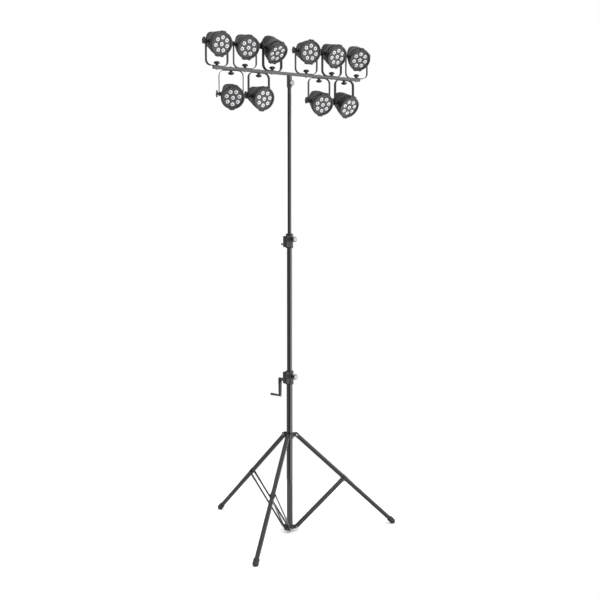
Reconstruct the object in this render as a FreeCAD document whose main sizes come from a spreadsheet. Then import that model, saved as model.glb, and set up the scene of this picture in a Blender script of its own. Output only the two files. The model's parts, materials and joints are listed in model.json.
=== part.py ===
import FreeCAD, Part
import math
import os
from types import SimpleNamespace

import Sketcher
from FreeCAD import Placement, Rotation, Vector

# Crank lighting stand: a tripod with a three-stage mast, two rack-and-pinion
# winch collars, a T-bar and ten lamps on yokes. Millimetres, +Z up, origin on
# the mast's axis at the floor. Leg 1 and the crank shafts point along +Y, the
# gearboxes along -X and the clamp knobs along -Y.

DRIVING = {
    # Mast tubes
    "lower_outer": 45.0,
    "middle_outer": 38.0,
    "upper_outer": 28.0,
    "tube_wall": 1.5,
    "mast_bottom": 20.0,
    "middle_bottom": 930.0,
    "upper_bottom": 1984.0,
    "foot_bush_height": 40.0,
    "foot_bush_gap": 0.3,
    # Clearances
    "running": 0.05,
    "sliding": 0.15,
    "loose": 0.3,
    # Racks and pinions
    "tooth_module": 1.5,
    "pinion_teeth": 15,
    "pressure_angle": 20.0,
    "tooth_addendum": 1.2,
    "tooth_dedendum": 1.5,
    "tooth_backlash": 0.2,
    "rack_inset": 0.2,
    "rack_back": 1.2,
    "rack_width": 8.0,
    "pinion_width": 6.0,
    "middle_rack_length": 1130.0,
    "upper_rack_length": 1080.0,
    # Lower collar
    "lower_collar_bottom": 1092.0,
    "lower_box_bottom": 1101.0,
    "lower_shaft_level": 1125.0,
    "lower_clamp_level": 1150.0,
    "lower_box_top": 1186.0,
    "lower_collar_top": 1188.0,
    "lower_collar_outer": 60.0,
    "lower_box_reach": 47.0,
    "lower_boss_reach": 48.0,
    "lower_knob_face": 66.0,
    "lower_shaft_diameter": 11.0,
    # Upper collar
    "upper_collar_bottom": 2083.0,
    "upper_box_bottom": 2090.0,
    "upper_shaft_level": 2112.0,
    "upper_clamp_level": 2147.0,
    "upper_box_top": 2171.0,
    "upper_collar_top": 2187.0,
    "upper_collar_outer": 54.0,
    "upper_box_reach": 43.0,
    "upper_boss_reach": 41.0,
    "upper_knob_face": 59.0,
    "upper_shaft_diameter": 8.0,
    # Both collars
    "box_width": 40.0,
    "bush_height": 30.0,
    "bush_lip": 3.0,
    "bush_wall": 2.0,
    "cover_thickness": 3.0,
    "cover_screw_diameter": 4.0,
    "cover_screw_inset": 6.0,
    "boss_diameter": 20.0,
    "shaft_stub_diameter": 12.0,
    "shaft_stub_reach": 60.0,
    # Clamp knobs
    "knob_diameter": 40.0,
    "knob_thickness": 14.0,
    "clamp_screw_diameter": 10.0,
    # Crank
    "crank_hub_start": 25.0,
    "crank_hub_diameter": 22.0,
    "crank_arm_start": 65.0,
    "crank_arm_thickness": 14.0,
    "crank_radius": 122.0,
    "crank_arm_wide": 24.0,
    "crank_arm_narrow": 17.0,
    "grip_length": 90.0,
    "grip_diameter": 18.0,
    "grip_axle_diameter": 7.0,
    # T-bar
    "bar_level": 3325.0,
    "bar_length": 1200.0,
    "bar_section": 20.0,
    "bar_wall": 2.0,
    "bar_cap": 3.0,
    "bar_turn": -14.16,
    "socket_outer": 38.0,
    "socket_bottom": 3232.0,
    "socket_roof": 9.0,
    "tube_top_gap": 2.0,
    "bar_clamp_level": 3258.0,
    "bar_boss_reach": 23.0,
    "bar_knob_face": 40.0,
    "top_first": 139.0,
    "hanging_first": 247.0,
    "lamp_spacing": 216.0,
    # Lamp mounting bolts
    "mount_bolt_diameter": 10.0,
    "mount_head_diameter": 18.0,
    "mount_head_height": 5.0,
    "mount_knob_diameter": 42.0,
    "mount_knob_height": 29.0,
    # Lamp yokes
    "yoke_width": 172.0,
    "yoke_strap": 3.0,
    "yoke_depth": 25.0,
    "yoke_corner": 38.0,
    "yoke_gap": 0.2,
    "yoke_above_pivot": 17.0,
    "pivot_rise": 174.0,
    # Lamp heads
    "head_back": 75.0,
    "head_back_diameter": 104.0,
    "head_waist_diameter": 124.0,
    "bezel_overlap": 3.5,
    "head_front": 62.0,
    "head_wall": 3.0,
    "bezel_diameter": 165.0,
    "bezel_bore": 132.0,
    "bezel_start": 58.0,
    "bezel_front": 80.0,
    "panel_front": 70.0,
    "panel_thickness": 3.0,
    "lens_count": 7,
    "lens_circle": 90.4,
    "lens_diameter": 29.0,
    "lens_height": 2.5,
    "tilt_shaft_diameter": 10.0,
    "tilt_boss_diameter": 26.0,
    "tilt_knob_diameter": 50.0,
    "tilt_knob_thickness": 8.0,
    "tilt_knob_reach": 18.5,
    "latch_width": 36.0,
    "latch_rise": 6.0,
    # Tripod
    "hub_level": 718.0,
    "hub_height": 40.0,
    "hub_outer": 58.0,
    "hub_ear_thickness": 3.0,
    "hub_ear_width": 26.0,
    "pivot_circle": 98.0,
    "foot_circle": 1600.0,
    "foot_level": 17.0,
    "leg_diameter": 32.0,
    "leg_wall": 1.5,
    "leg_above_pivot": 7.0,
    "pin_diameter": 8.0,
    "pin_head": 13.0,
    "pin_head_height": 3.0,
    "base_level": 30.0,
    "base_height": 26.0,
    "base_outer": 60.0,
    "base_ear_height": 20.0,
    "brace_width": 17.0,
    "brace_thickness": 3.0,
    "brace_inside": 19.3,
    "bracket_length": 40.0,
    "bracket_wall": 2.0,
    "foot_diameter": 42.0,
    "foot_length": 48.0,
    "foot_wall": 4.0,
    "hub_knob_turn": 30.0,
    "hub_knob_face": 62.0,
    "hub_boss_reach": 42.0,
    "hub_boss_rise": 15.0,
    "hub_below_pivot": 26.0,
}

# Every lamp's turn on the bar and the tilt of its head, in degrees, from the
# bar's left end to its right: six standing on the bar, then four hanging.
STANDING_AIM = [(4.2, 21.5), (-5.4, 26.0), (12.7, 41.2), (-5.5, 15.4), (4.6, 26.0), (-10.5, 31.0)]
HANGING_AIM = [(-15.7, 26.7), (4.7, 20.9), (-5.8, 29.3), (6.3, 33.5)]

LEG_TURNS = [90.0, 210.0, 330.0]

ORIGIN = Vector(0, 0, 0)
EAST = Vector(1, 0, 0)
NORTH = Vector(0, 1, 0)
UP = Vector(0, 0, 1)

doc = FreeCAD.newDocument("crank_lighting_stand")
sheet = doc.addObject("Spreadsheet::Sheet", "sizes")
nodes = []


# A number together with the sheet expression that gives it, so that a piece
# built from it stays bound to the sheet.
class Size:
    def __init__(self, value, text):
        self.value = value
        self.text = text

    def __float__(self):
        return float(self.value)

    def __neg__(self):
        return Size(-self.value, f"(-{self.text})")

    def __add__(self, other):
        other = as_size(other)
        return Size(self.value + other.value, f"({self.text} + {other.text})")

    def __sub__(self, other):
        other = as_size(other)
        return Size(self.value - other.value, f"({self.text} - {other.text})")

    def __rsub__(self, other):
        return as_size(other) - self

    def __mul__(self, other):
        other = as_size(other)
        return Size(self.value * other.value, f"({self.text} * {other.text})")

    def __truediv__(self, other):
        other = as_size(other)
        return Size(self.value / other.value, f"({self.text} / {other.text})")

    __radd__ = __add__
    __rmul__ = __mul__


def as_size(value):
    if isinstance(value, Size):
        return value
    return Size(float(value), f"({float(value)})")


def square_root(size):
    return Size(math.sqrt(float(size)), f"sqrt({size.text})")


def read_sheet():
    for row, (name, value) in enumerate(DRIVING.items(), start=1):
        sheet.set(f"A{row}", name)
        sheet.set(f"B{row}", str(value))
        sheet.setAlias(f"B{row}", name)
    doc.recompute()
    return SimpleNamespace(**{name: Size(float(sheet.get(name)), f"sizes.{name}") for name in DRIVING})


d = read_sheet()


# Sizes of a piece, bound to the sheet.
def bind(piece, **sizes):
    for prop, size in sizes.items():
        piece.setExpression(prop, as_size(size).text)


# A piece's place, bound to the sheet, with a fixed turn.
def put(piece, at, turn=Rotation()):
    piece.Placement = Placement(Vector(*[float(size) for size in at]), turn)
    for axis, size in zip("xyz", at):
        piece.setExpression(f"Placement.Base.{axis}", as_size(size).text)


def cylinder(name, radius, length, at, along=UP):
    piece = doc.addObject("Part::Cylinder", name)
    bind(piece, Radius=radius, Height=length)
    put(piece, at, Rotation(UP, along))
    return piece


def box(name, low, high):
    piece = doc.addObject("Part::Box", name)
    bind(piece, Length=high[0] - low[0], Width=high[1] - low[1], Height=high[2] - low[2])
    put(piece, low)
    return piece


def fuse(name, *pieces):
    whole = doc.addObject("Part::MultiFuse", name)
    whole.Shapes = list(pieces)
    whole.Refine = True
    return whole


def cut(name, base, *tools):
    whole = doc.addObject("Part::Cut", name)
    whole.Base = base
    whole.Tool = tools[0] if len(tools) == 1 else fuse(name + "_cuts", *tools)
    return whole


def group(name, *pieces):
    whole = doc.addObject("Part::Compound", name)
    whole.Links = list(pieces)
    return whole


# A finished sub-part: its label is its node's and its file's name.
def finish(piece, label, place=None):
    piece.Label = label
    if place is not None:
        piece.Placement = place
    nodes.append(piece)
    return piece


def tube(name, outer, bore, bottom, top):
    body = cylinder(name + "_body", outer / 2, top - bottom, (0, 0, bottom))
    hollow = cylinder(name + "_bore", bore / 2, top - bottom + 2, (0, 0, bottom - 1))
    return cut(name, body, hollow)


# A closed outline in a sketch. Each point is (across, up) or (across, up,
# radius), where the radius bends the stretch that leaves the point: positive
# turns left, negative turns right. Every point is held to the sheet.
def draw_outline(sketch, points):
    corners = [Vector(float(point[0]), float(point[1]), 0) for point in points]
    starts = []
    for index, point in enumerate(points):
        here = corners[index]
        there = corners[(index + 1) % len(corners)]
        bend = float(point[2]) if len(point) == 3 else 0.0
        if bend == 0.0:
            sketch.addGeometry(Part.LineSegment(here, there), False)
            starts.append(1)
        else:
            sketch.addGeometry(bent_stretch(here, there, bend), False)
            starts.append(1 if bend > 0 else 2)
    for index, start in enumerate(starts):
        following = (index + 1) % len(starts)
        joined = Sketcher.Constraint("Coincident", index, 3 - start, following, starts[following])
        sketch.addConstraint(joined)
    for index, point in enumerate(points):
        hold(sketch, ("DistanceX", -1, 1, index, starts[index]), point[0])
        hold(sketch, ("DistanceY", -1, 1, index, starts[index]), point[1])
        if len(point) == 3:
            radius = as_size(point[2])
            hold(sketch, ("Radius", index), radius if float(radius) > 0 else -radius)


def bent_stretch(here, there, bend):
    chord = there - here
    side = Vector(-chord.y, chord.x, 0).normalize() * math.copysign(1, bend)
    reach = math.sqrt(max(bend * bend - chord.Length ** 2 / 4, 0.0))
    centre = (here + there) / 2 + side * reach
    first, last = (here, there) if bend > 0 else (there, here)
    start = math.atan2(first.y - centre.y, first.x - centre.x)
    end = math.atan2(last.y - centre.y, last.x - centre.x)
    if end < start:
        end += 2 * math.pi
    return Part.ArcOfCircle(Part.Circle(centre, UP, abs(bend)), start, end)


def hold(sketch, what, size):
    index = sketch.addConstraint(Sketcher.Constraint(*what, float(size)))
    sketch.setExpression(f"Constraints[{index}]", as_size(size).text)


def origin_plane(body, role):
    return [plane for plane in body.Origin.OriginFeatures if plane.Role == role][0]


def sketched_body(name, role, points):
    body = doc.addObject("PartDesign::Body", name)
    sketch = body.newObject("Sketcher::SketchObject", name + "_outline")
    sketch.AttachmentSupport = (origin_plane(body, role), [""])
    sketch.MapMode = "FlatFace"
    draw_outline(sketch, points)
    return body, sketch


# A piece turned about its own Z axis, from (radius, height) points.
def turned(name, points):
    body, sketch = sketched_body(name, "XZ_Plane", points)
    turn = body.newObject("PartDesign::Revolution", name + "_turn")
    turn.Profile = sketch
    turn.ReferenceAxis = (sketch, ["V_Axis"])
    turn.Angle = 360
    body.Tip = turn
    return body


# A plate cut to an outline in its own XZ plane, thick along -Y.
def plate(name, points, thickness):
    body, sketch = sketched_body(name, "XZ_Plane", points)
    pad = body.newObject("PartDesign::Pad", name + "_pad")
    pad.Profile = sketch
    bind(pad, Length=thickness)
    body.Tip = pad
    return body


def polar(radius, degrees, level=0.0):
    angle = math.radians(degrees)
    return Vector(radius * math.cos(angle), radius * math.sin(angle), level)


# ---- Racks and pinions -------------------------------------------------

def pinion_radius():
    return d.tooth_module * d.pinion_teeth / 2


# The teeth's tips are flat, so their corners set how far out they may reach.
def rack_tip(tube_outer):
    reach = tube_outer / 2 - d.rack_inset
    return square_root(reach * reach - d.rack_width * d.rack_width / 4)


def pinion_axis(tube_outer):
    return -(rack_tip(tube_outer) - d.tooth_addendum + pinion_radius())


# Half the angle that a pinion tooth covers at a radius, on an involute flank.
def tooth_half_angle(radius):
    pitch_radius = float(pinion_radius())
    base_radius = pitch_radius * math.cos(math.radians(float(d.pressure_angle)))
    at_pitch = math.pi / (2 * float(d.pinion_teeth)) - float(d.tooth_backlash) / (2 * pitch_radius)

    def involute(distance):
        angle = math.acos(min(1.0, base_radius / distance))
        return math.tan(angle) - angle

    return at_pitch + involute(pitch_radius) - involute(max(radius, base_radius))


def pinion(name, tube_outer, level):
    root = float(pinion_radius() - d.tooth_dedendum)
    tip = float(pinion_radius() + d.tooth_addendum)
    flank_steps = 5
    outline = []
    for tooth in range(int(float(d.pinion_teeth))):
        middle = 2 * math.pi * tooth / float(d.pinion_teeth)
        radii = [root + (tip - root) * step / flank_steps for step in range(flank_steps + 1)]
        rising = [(radius, middle - tooth_half_angle(radius)) for radius in radii]
        falling = [(radius, middle + tooth_half_angle(radius)) for radius in reversed(radii)]
        for radius, angle in rising + falling:
            outline.append(Vector(radius * math.cos(angle), radius * math.sin(angle), 0))
    face = Part.Face(Part.makePolygon(outline + [outline[0]]))
    width = float(d.pinion_width)
    piece = doc.addObject("Part::Feature", name)
    piece.Shape = face.extrude(Vector(0, 0, width))
    piece.Placement = Placement(Vector(float(pinion_axis(tube_outer)), -width / 2, float(level)), Rotation(UP, NORTH))
    return piece


# A toothed bar let into the tube's -X side, with a tooth gap at the shaft.
def rack(name, tube_outer, level, bottom, length):
    pitch = math.pi * float(d.tooth_module)
    tip = float(rack_tip(tube_outer))
    depth = float(d.tooth_addendum + d.tooth_dedendum)
    root = tip - depth
    back = root - float(d.rack_back)
    lean = depth * math.tan(math.radians(float(d.pressure_angle)))
    top_half = pitch / 4 - float(d.tooth_addendum) * math.tan(math.radians(float(d.pressure_angle)))
    low = float(bottom)
    high = low + float(length)
    outline = [Vector(-back, 0, low), Vector(-root, 0, low)]
    number = math.ceil((low - float(level)) / pitch)
    while float(level) + (number + 1) * pitch < high:
        middle = float(level) + (number + 0.5) * pitch
        outline.append(Vector(-root, 0, middle - top_half - lean))
        outline.append(Vector(-tip, 0, middle - top_half))
        outline.append(Vector(-tip, 0, middle + top_half))
        outline.append(Vector(-root, 0, middle + top_half + lean))
        number += 1
    outline += [Vector(-root, 0, high), Vector(-back, 0, high), Vector(-back, 0, low)]
    piece = doc.addObject("Part::Feature", name)
    piece.Shape = Part.Face(Part.makePolygon(outline)).extrude(Vector(0, float(d.rack_width), 0))
    piece.Placement = Placement(Vector(0, -float(d.rack_width) / 2, 0), Rotation())
    return piece


# The slot that a rack lies in, as deep as the rack is thick.
def rack_slot(name, tube_outer, bottom, top):
    back = rack_tip(tube_outer) - d.tooth_addendum - d.tooth_dedendum - d.rack_back
    half = d.rack_width / 2
    return box(name, (-tube_outer / 2 - 1, -half, bottom), (-back, half, top))


# ---- Mast ---------------------------------------------------------------

# Room round the pinion, up and down from its axis.
def pinion_room():
    return pinion_radius() + d.tooth_addendum + 1.0


def lower_tube():
    top = d.lower_shaft_level + pinion_room()
    body = tube("lower_tube_body", d.lower_outer, d.lower_outer - d.tube_wall * 2, d.mast_bottom, top)
    half = d.rack_width / 2
    window = box(
        "lower_tube_window",
        (-d.lower_outer / 2 - 1, -half, d.lower_shaft_level - pinion_room()),
        (-d.middle_outer / 2, half, top + 1),
    )
    finish(cut("lower_tube_part", body, window), "lower_tube")


def middle_tube():
    top = d.upper_shaft_level + pinion_room()
    body = tube("middle_tube_body", d.middle_outer, d.middle_outer - d.tube_wall * 2, d.middle_bottom, top)
    half = d.rack_width / 2
    window = box(
        "middle_tube_window",
        (-d.middle_outer / 2 - 1, -half, d.upper_shaft_level - pinion_room()),
        (-d.upper_outer / 2, half, top + 1),
    )
    bottom = middle_rack_bottom()
    slot = rack_slot("middle_tube_slot", d.middle_outer, bottom, bottom + d.middle_rack_length)
    finish(cut("middle_tube_part", body, window, slot), "middle_tube")
    bar = rack("middle_rack_part", d.middle_outer, d.lower_shaft_level, bottom, d.middle_rack_length)
    finish(bar, "middle_rack")


def middle_rack_bottom():
    return d.middle_bottom + d.foot_bush_height / 4


def upper_rack_bottom():
    return d.upper_bottom + d.foot_bush_height / 4


def upper_tube():
    top = tube_top()
    body = tube("upper_tube_body", d.upper_outer, d.upper_outer - d.tube_wall * 2, d.upper_bottom, top)
    bottom = upper_rack_bottom()
    slot = rack_slot("upper_tube_slot", d.upper_outer, bottom, bottom + d.upper_rack_length)
    finish(cut("upper_tube_part", body, slot), "upper_tube")
    bar = rack("upper_rack_part", d.upper_outer, d.upper_shaft_level, bottom, d.upper_rack_length)
    finish(bar, "upper_rack")


def tube_top():
    return d.bar_level - d.bar_section / 2 - d.socket_roof - d.tube_top_gap


# The plastic rings round the sliding tubes' feet.
def foot_bushes():
    lower_bore = d.lower_outer / 2 - d.tube_wall
    ring = tube(
        "middle_foot_bush_ring",
        (lower_bore - d.foot_bush_gap) * 2,
        d.middle_outer,
        d.middle_bottom,
        d.middle_bottom + d.foot_bush_height,
    )
    finish(ring, "middle_foot_bush")
    middle_bore = d.middle_outer / 2 - d.tube_wall
    ring = tube(
        "upper_foot_bush_ring",
        (middle_bore - d.foot_bush_gap) * 2,
        d.upper_outer,
        d.upper_bottom,
        d.upper_bottom + d.foot_bush_height,
    )
    half = d.rack_width / 2 + d.loose
    rack_rear = rack_tip(d.middle_outer) - d.tooth_addendum - d.tooth_dedendum - d.rack_back
    way = box(
        "upper_foot_bush_way",
        (-middle_bore, -half, d.upper_bottom - 1),
        (-rack_rear + d.loose, half, d.upper_bottom + d.foot_bush_height + 1),
    )
    finish(cut("upper_foot_bush_part", ring, way), "upper_foot_bush")


# ---- Winch collars --------------------------------------------------------

# The sizes of one collar: the tube that it sits on, the tube that slides in
# it, and the levels of its parts.
def collar_sizes(side, seat_outer, slider_outer):
    names = [
        "collar_bottom", "box_bottom", "shaft_level", "clamp_level", "box_top", "collar_top",
        "collar_outer", "box_reach", "boss_reach", "knob_face", "shaft_diameter",
    ]
    sizes = {name: getattr(d, f"{side}_{name}") for name in names}
    return SimpleNamespace(side=side, seat_outer=seat_outer, slider_outer=slider_outer, **sizes)


def winch_collar(c):
    side = c.side
    axis = pinion_axis(c.slider_outer)
    half = d.box_width / 2
    bush_outer = c.slider_outer / 2 + d.sliding + d.bush_wall
    sleeve = cylinder(side + "_sleeve", c.collar_outer / 2, c.collar_top - c.collar_bottom, (0, 0, c.collar_bottom))
    case = box(side + "_case", (-c.box_reach, -half, c.box_bottom), (0, half, c.box_top))
    boss = cylinder(side + "_boss", d.boss_diameter / 2, c.boss_reach, (0, 0, c.clamp_level), -NORTH)
    body = fuse(side + "_casting", sleeve, case, boss)
    seat_top = c.shaft_level + pinion_room()
    seat = cylinder(side + "_seat", c.seat_outer / 2, seat_top - c.collar_bottom + 1, (0, 0, c.collar_bottom - 1))
    bore = cylinder(side + "_bore", bush_outer, c.collar_top - seat_top + 2, (0, 0, seat_top - 1))
    room = box(
        side + "_gear_room",
        (-c.box_reach - 1, -d.rack_width / 2, c.shaft_level - pinion_room()),
        (0, d.rack_width / 2, c.shaft_level + pinion_room()),
    )
    shaft_way = cylinder(
        side + "_shaft_way",
        c.shaft_diameter / 2 + d.running,
        d.box_width + 2,
        (axis, -half - 1, c.shaft_level),
        NORTH,
    )
    keeper_ways = []
    for name, direction in (("near", -NORTH), ("far", NORTH)):
        at = (axis, half * direction.y, c.shaft_level)
        way = cylinder(f"{side}_keeper_way_{name}", keeper_radius() + 1, c.collar_outer / 4, at, direction)
        keeper_ways.append(way)
    screw_way = cylinder(
        side + "_screw_way",
        d.clamp_screw_diameter / 2 + d.running,
        c.boss_reach + 1,
        (0, 0, c.clamp_level),
        -NORTH,
    )
    ways = [seat, bore, room, shaft_way, screw_way] + keeper_ways
    finish(cut(side + "_collar_part", body, *ways), side + "_collar")


# The collar on the shaft's end that keeps it in the case.
def keeper_radius():
    return d.shaft_stub_diameter / 2 + 1


# The plastic bush in a collar's mouth, with its lip on the collar.
def collar_bush(c):
    inner = c.slider_outer / 2 + d.sliding
    outer = inner + d.bush_wall
    bottom = c.collar_top - d.bush_height
    lip_outer = outer + d.bush_lip
    profile = [
        (inner, bottom),
        (outer, bottom),
        (outer, c.collar_top),
        (lip_outer, c.collar_top),
        (lip_outer, c.collar_top + d.bush_lip),
        (inner, c.collar_top + d.bush_lip),
    ]
    finish(turned(c.side + "_bush_part", profile), c.side + "_bush")


def gear_cover(c):
    side = c.side
    half = d.box_width / 2
    outside = -c.box_reach - d.cover_thickness
    sheet_piece = box(side + "_cover_sheet", (outside, -half, c.box_bottom), (-c.box_reach, half, c.box_top))
    ways = []
    screws = []
    for row, level in enumerate((c.box_bottom + d.cover_screw_inset, c.box_top - d.cover_screw_inset)):
        for column, across in enumerate((-half + d.cover_screw_inset, half - d.cover_screw_inset)):
            name = f"{side}_cover_screw_{row}{column}"
            radius = d.cover_screw_diameter / 2
            ways.append(cylinder(name + "_way", radius, d.cover_thickness + 2, (outside - 1, across, level), EAST))
            shank = cylinder(name + "_shank", radius, d.cover_thickness, (outside, across, level), EAST)
            head = cylinder(name + "_head", radius * 2, radius, (outside - radius, across, level), EAST)
            screws.append(fuse(name, shank, head))
    cover = cut(side + "_cover_part", sheet_piece, *ways)
    finish(group(side + "_cover_group", cover, *screws), side + "_gear_cover")


# The shaft along +Y with its pinion. The lower one carries the crank, the
# upper one ends in a stub that a crank fits on.
def winch_shaft(c, reach, stub_start):
    side = c.side
    axis = pinion_axis(c.slider_outer)
    half = d.box_width / 2
    teeth = pinion(side + "_pinion", c.slider_outer, c.shaft_level)
    core = cylinder(side + "_core", c.shaft_diameter / 2, reach + half, (axis, -half, c.shaft_level), NORTH)
    stub = cylinder(
        side + "_stub",
        d.shaft_stub_diameter / 2,
        reach - stub_start,
        (axis, stub_start, c.shaft_level),
        NORTH,
    )
    keeper = cylinder(
        side + "_keeper",
        keeper_radius(),
        d.cover_thickness,
        (axis, -half - d.cover_thickness - d.loose, c.shaft_level),
        NORTH,
    )
    tail = cylinder(side + "_tail", c.shaft_diameter / 2, half, (axis, -half - d.loose, c.shaft_level), NORTH)
    finish(fuse(side + "_shaft_part", teeth, core, tail, stub, keeper), side + "_shaft")


# A clamp knob's profile: the screw's tip is next to the tube and the knob's
# round face is the far end.
def knob_profile(tip, face):
    screw = d.clamp_screw_diameter / 2
    rim = d.knob_diameter / 2
    back = face - d.knob_thickness
    return [
        (0, tip),
        (screw, tip),
        (screw, back),
        (rim - 2, back),
        (rim, back + 2),
        (rim, face - 3),
        (rim - 3, face),
        (0, face),
    ]


def clamp_knob(label, tube_outer, face, level, direction):
    knob = turned(label + "_part", knob_profile(tube_outer / 2 + d.loose, face))
    put(knob, (0, 0, level), Rotation(UP, direction))
    finish(knob, label)


# ---- Crank ----------------------------------------------------------------

# The arm hangs straight down from the shaft, a sleeve on the shaft behind it
# and the grip's axle at its lower end.
def crank():
    axis = pinion_axis(d.middle_outer)
    level = d.lower_shaft_level
    low = level - d.crank_radius
    wide = d.crank_arm_wide / 2
    narrow = d.crank_arm_narrow / 2
    outer_end = d.crank_arm_start + d.crank_arm_thickness
    tilt = (wide - narrow) / d.crank_radius
    profile = [
        (wide, tilt * wide, wide),
        (0, wide, wide),
        (-wide, tilt * wide),
        (-narrow, -d.crank_radius + tilt * narrow, narrow),
        (0, -d.crank_radius - narrow, narrow),
        (narrow, -d.crank_radius + tilt * narrow),
    ]
    arm_plate = plate("crank_arm_plate", profile, d.crank_arm_thickness)
    put(arm_plate, (axis, outer_end, level))
    sleeve = cylinder(
        "crank_sleeve",
        d.crank_hub_diameter / 2,
        d.crank_arm_start - d.crank_hub_start,
        (axis, d.crank_hub_start, level),
        NORTH,
    )
    shaft_way = cylinder(
        "crank_shaft_way",
        d.shaft_stub_diameter / 2,
        outer_end - d.crank_hub_start + 2,
        (axis, d.crank_hub_start - 1, level),
        NORTH,
    )
    axle_way = cylinder(
        "crank_axle_way",
        d.grip_axle_diameter / 2,
        d.crank_arm_thickness + 2,
        (axis, d.crank_arm_start - 1, low),
        NORTH,
    )
    finish(cut("crank_arm_part", fuse("crank_blank", arm_plate, sleeve), shaft_way, axle_way), "crank_arm")
    grip_start = outer_end + d.loose * 2
    axle_end = grip_start + d.grip_length + d.loose * 2
    pin = cylinder(
        "grip_axle_pin",
        d.grip_axle_diameter / 2,
        axle_end - d.crank_arm_start,
        (axis, d.crank_arm_start, low),
        NORTH,
    )
    head = cylinder("grip_axle_head", d.grip_axle_diameter / 2 + 2, d.cover_thickness, (axis, axle_end, low), NORTH)
    finish(fuse("crank_grip_axle_part", pin, head), "crank_grip_axle")
    bore = d.grip_axle_diameter / 2 + d.running
    outer = d.grip_diameter / 2
    grip = turned(
        "crank_grip_part",
        [
            (bore, 0),
            (outer - 2, 0),
            (outer, 2),
            (outer, d.grip_length - 2),
            (outer - 2, d.grip_length),
            (bore, d.grip_length),
        ],
    )
    put(grip, (axis, grip_start, low), Rotation(UP, NORTH))
    finish(grip, "crank_grip")


# ---- T-bar ------------------------------------------------------------------

def bar_place():
    return Placement(Vector(0, 0, float(d.bar_level)), Rotation(UP, float(d.bar_turn)))


# Every lamp's place along the bar: the standing ones, then the hanging ones.
def lamp_spots():
    outward = [d.top_first, d.top_first + d.lamp_spacing, d.top_first + d.lamp_spacing * 2]
    standing = [-outward[2], -outward[1], -outward[0], outward[0], outward[1], outward[2]]
    outward = [d.hanging_first, d.hanging_first + d.lamp_spacing]
    hanging = [-outward[1], -outward[0], outward[0], outward[1]]
    return [(along, False) for along in standing] + [(along, True) for along in hanging]


# The T-bar's pieces are built about the bar's own middle and turned with it.
def bar():
    half = d.bar_section / 2
    inside = half - d.bar_wall
    end = d.bar_length / 2 - d.bar_cap
    outer = box("bar_outer", (-end, -half, -half), (end, half, half))
    hollow = box("bar_hollow", (-end - 1, -inside, -inside), (end + 1, inside, inside))
    ways = []
    for number, (along, hanging) in enumerate(lamp_spots(), start=1):
        spot = (along, 0, -half - 1)
        ways.append(cylinder(f"bar_way_{number}", d.mount_bolt_diameter / 2, d.bar_section + 2, spot))
    finish(cut("tbar_beam_part", outer, hollow, *ways), "tbar_beam", bar_place())

    depth = d.bar_level - d.socket_bottom
    ring = cylinder("socket_ring", d.socket_outer / 2, depth - half, (0, 0, -depth))
    clamp_drop = d.bar_clamp_level - d.bar_level
    boss = cylinder("socket_boss", d.boss_diameter / 2, d.bar_boss_reach, (0, 0, clamp_drop), -NORTH)
    bore = cylinder("socket_bore", d.upper_outer / 2 + d.running, depth - half - d.socket_roof + 1, (0, 0, -depth - 1))
    screw_way = cylinder(
        "socket_screw_way",
        d.clamp_screw_diameter / 2 + d.running,
        d.bar_boss_reach + 1,
        (0, 0, d.bar_clamp_level - d.bar_level),
        -NORTH,
    )
    finish(cut("tbar_socket_part", fuse("socket_blank", ring, boss), bore, screw_way), "tbar_socket", bar_place())

    caps = []
    for side, name in ((-1, "left"), (1, "right")):
        face = box(
            f"cap_face_{name}",
            (end if side > 0 else -end - d.bar_cap, -half, -half),
            (end + d.bar_cap if side > 0 else -end, half, half),
        )
        plug = box(
            f"cap_plug_{name}",
            (end - d.bar_section if side > 0 else -end, -inside, -inside),
            (end if side > 0 else -end + d.bar_section, inside, inside),
        )
        caps.append(fuse(f"cap_{name}", face, plug))
    finish(group("tbar_end_caps_part", *caps), "tbar_end_caps", bar_place())


# The bolt through the bar that a lamp's yoke turns on, with its mushroom knob
# on the yoke's strap.
def mount_knobs():
    half = d.bar_section / 2
    shank = d.mount_bolt_diameter / 2
    seat = half + d.yoke_gap * 2 + d.yoke_strap
    top = seat + d.mount_knob_height
    cap = d.mount_knob_diameter / 2
    under = top - d.mount_knob_height * 0.55
    head = d.mount_head_diameter / 2
    profile = [
        (0, -half - d.mount_head_height),
        (head, -half - d.mount_head_height),
        (head, -half),
        (shank, -half),
        (shank, seat),
        (cap * 0.6, seat),
        (cap * 0.45, under),
        (cap - 2, under),
        (cap, under + 2),
        (cap, top - 5),
        (cap - 5, top),
        (0, top),
    ]
    knob = turned("mount_knob", profile)
    copies = []
    for number, (along, hanging) in enumerate(lamp_spots(), start=1):
        copy = group(f"mount_knob_{number}", knob)
        put(copy, (along, 0, 0), Rotation(NORTH, 180 if hanging else 0))
        copies.append(copy)
    finish(group("lamp_mount_knobs_part", *copies), "lamp_mount_knobs", bar_place())


def bar_clamp_knob():
    knob = turned("tbar_clamp_knob_part", knob_profile(d.upper_outer / 2 + d.loose, d.bar_knob_face))
    place = Placement(Vector(0, 0, float(d.bar_clamp_level)), Rotation(UP, float(d.bar_turn)) * Rotation(UP, -NORTH))
    finish(knob, "tbar_clamp_knob", place)


# ---- Lamps --------------------------------------------------------------------

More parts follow.
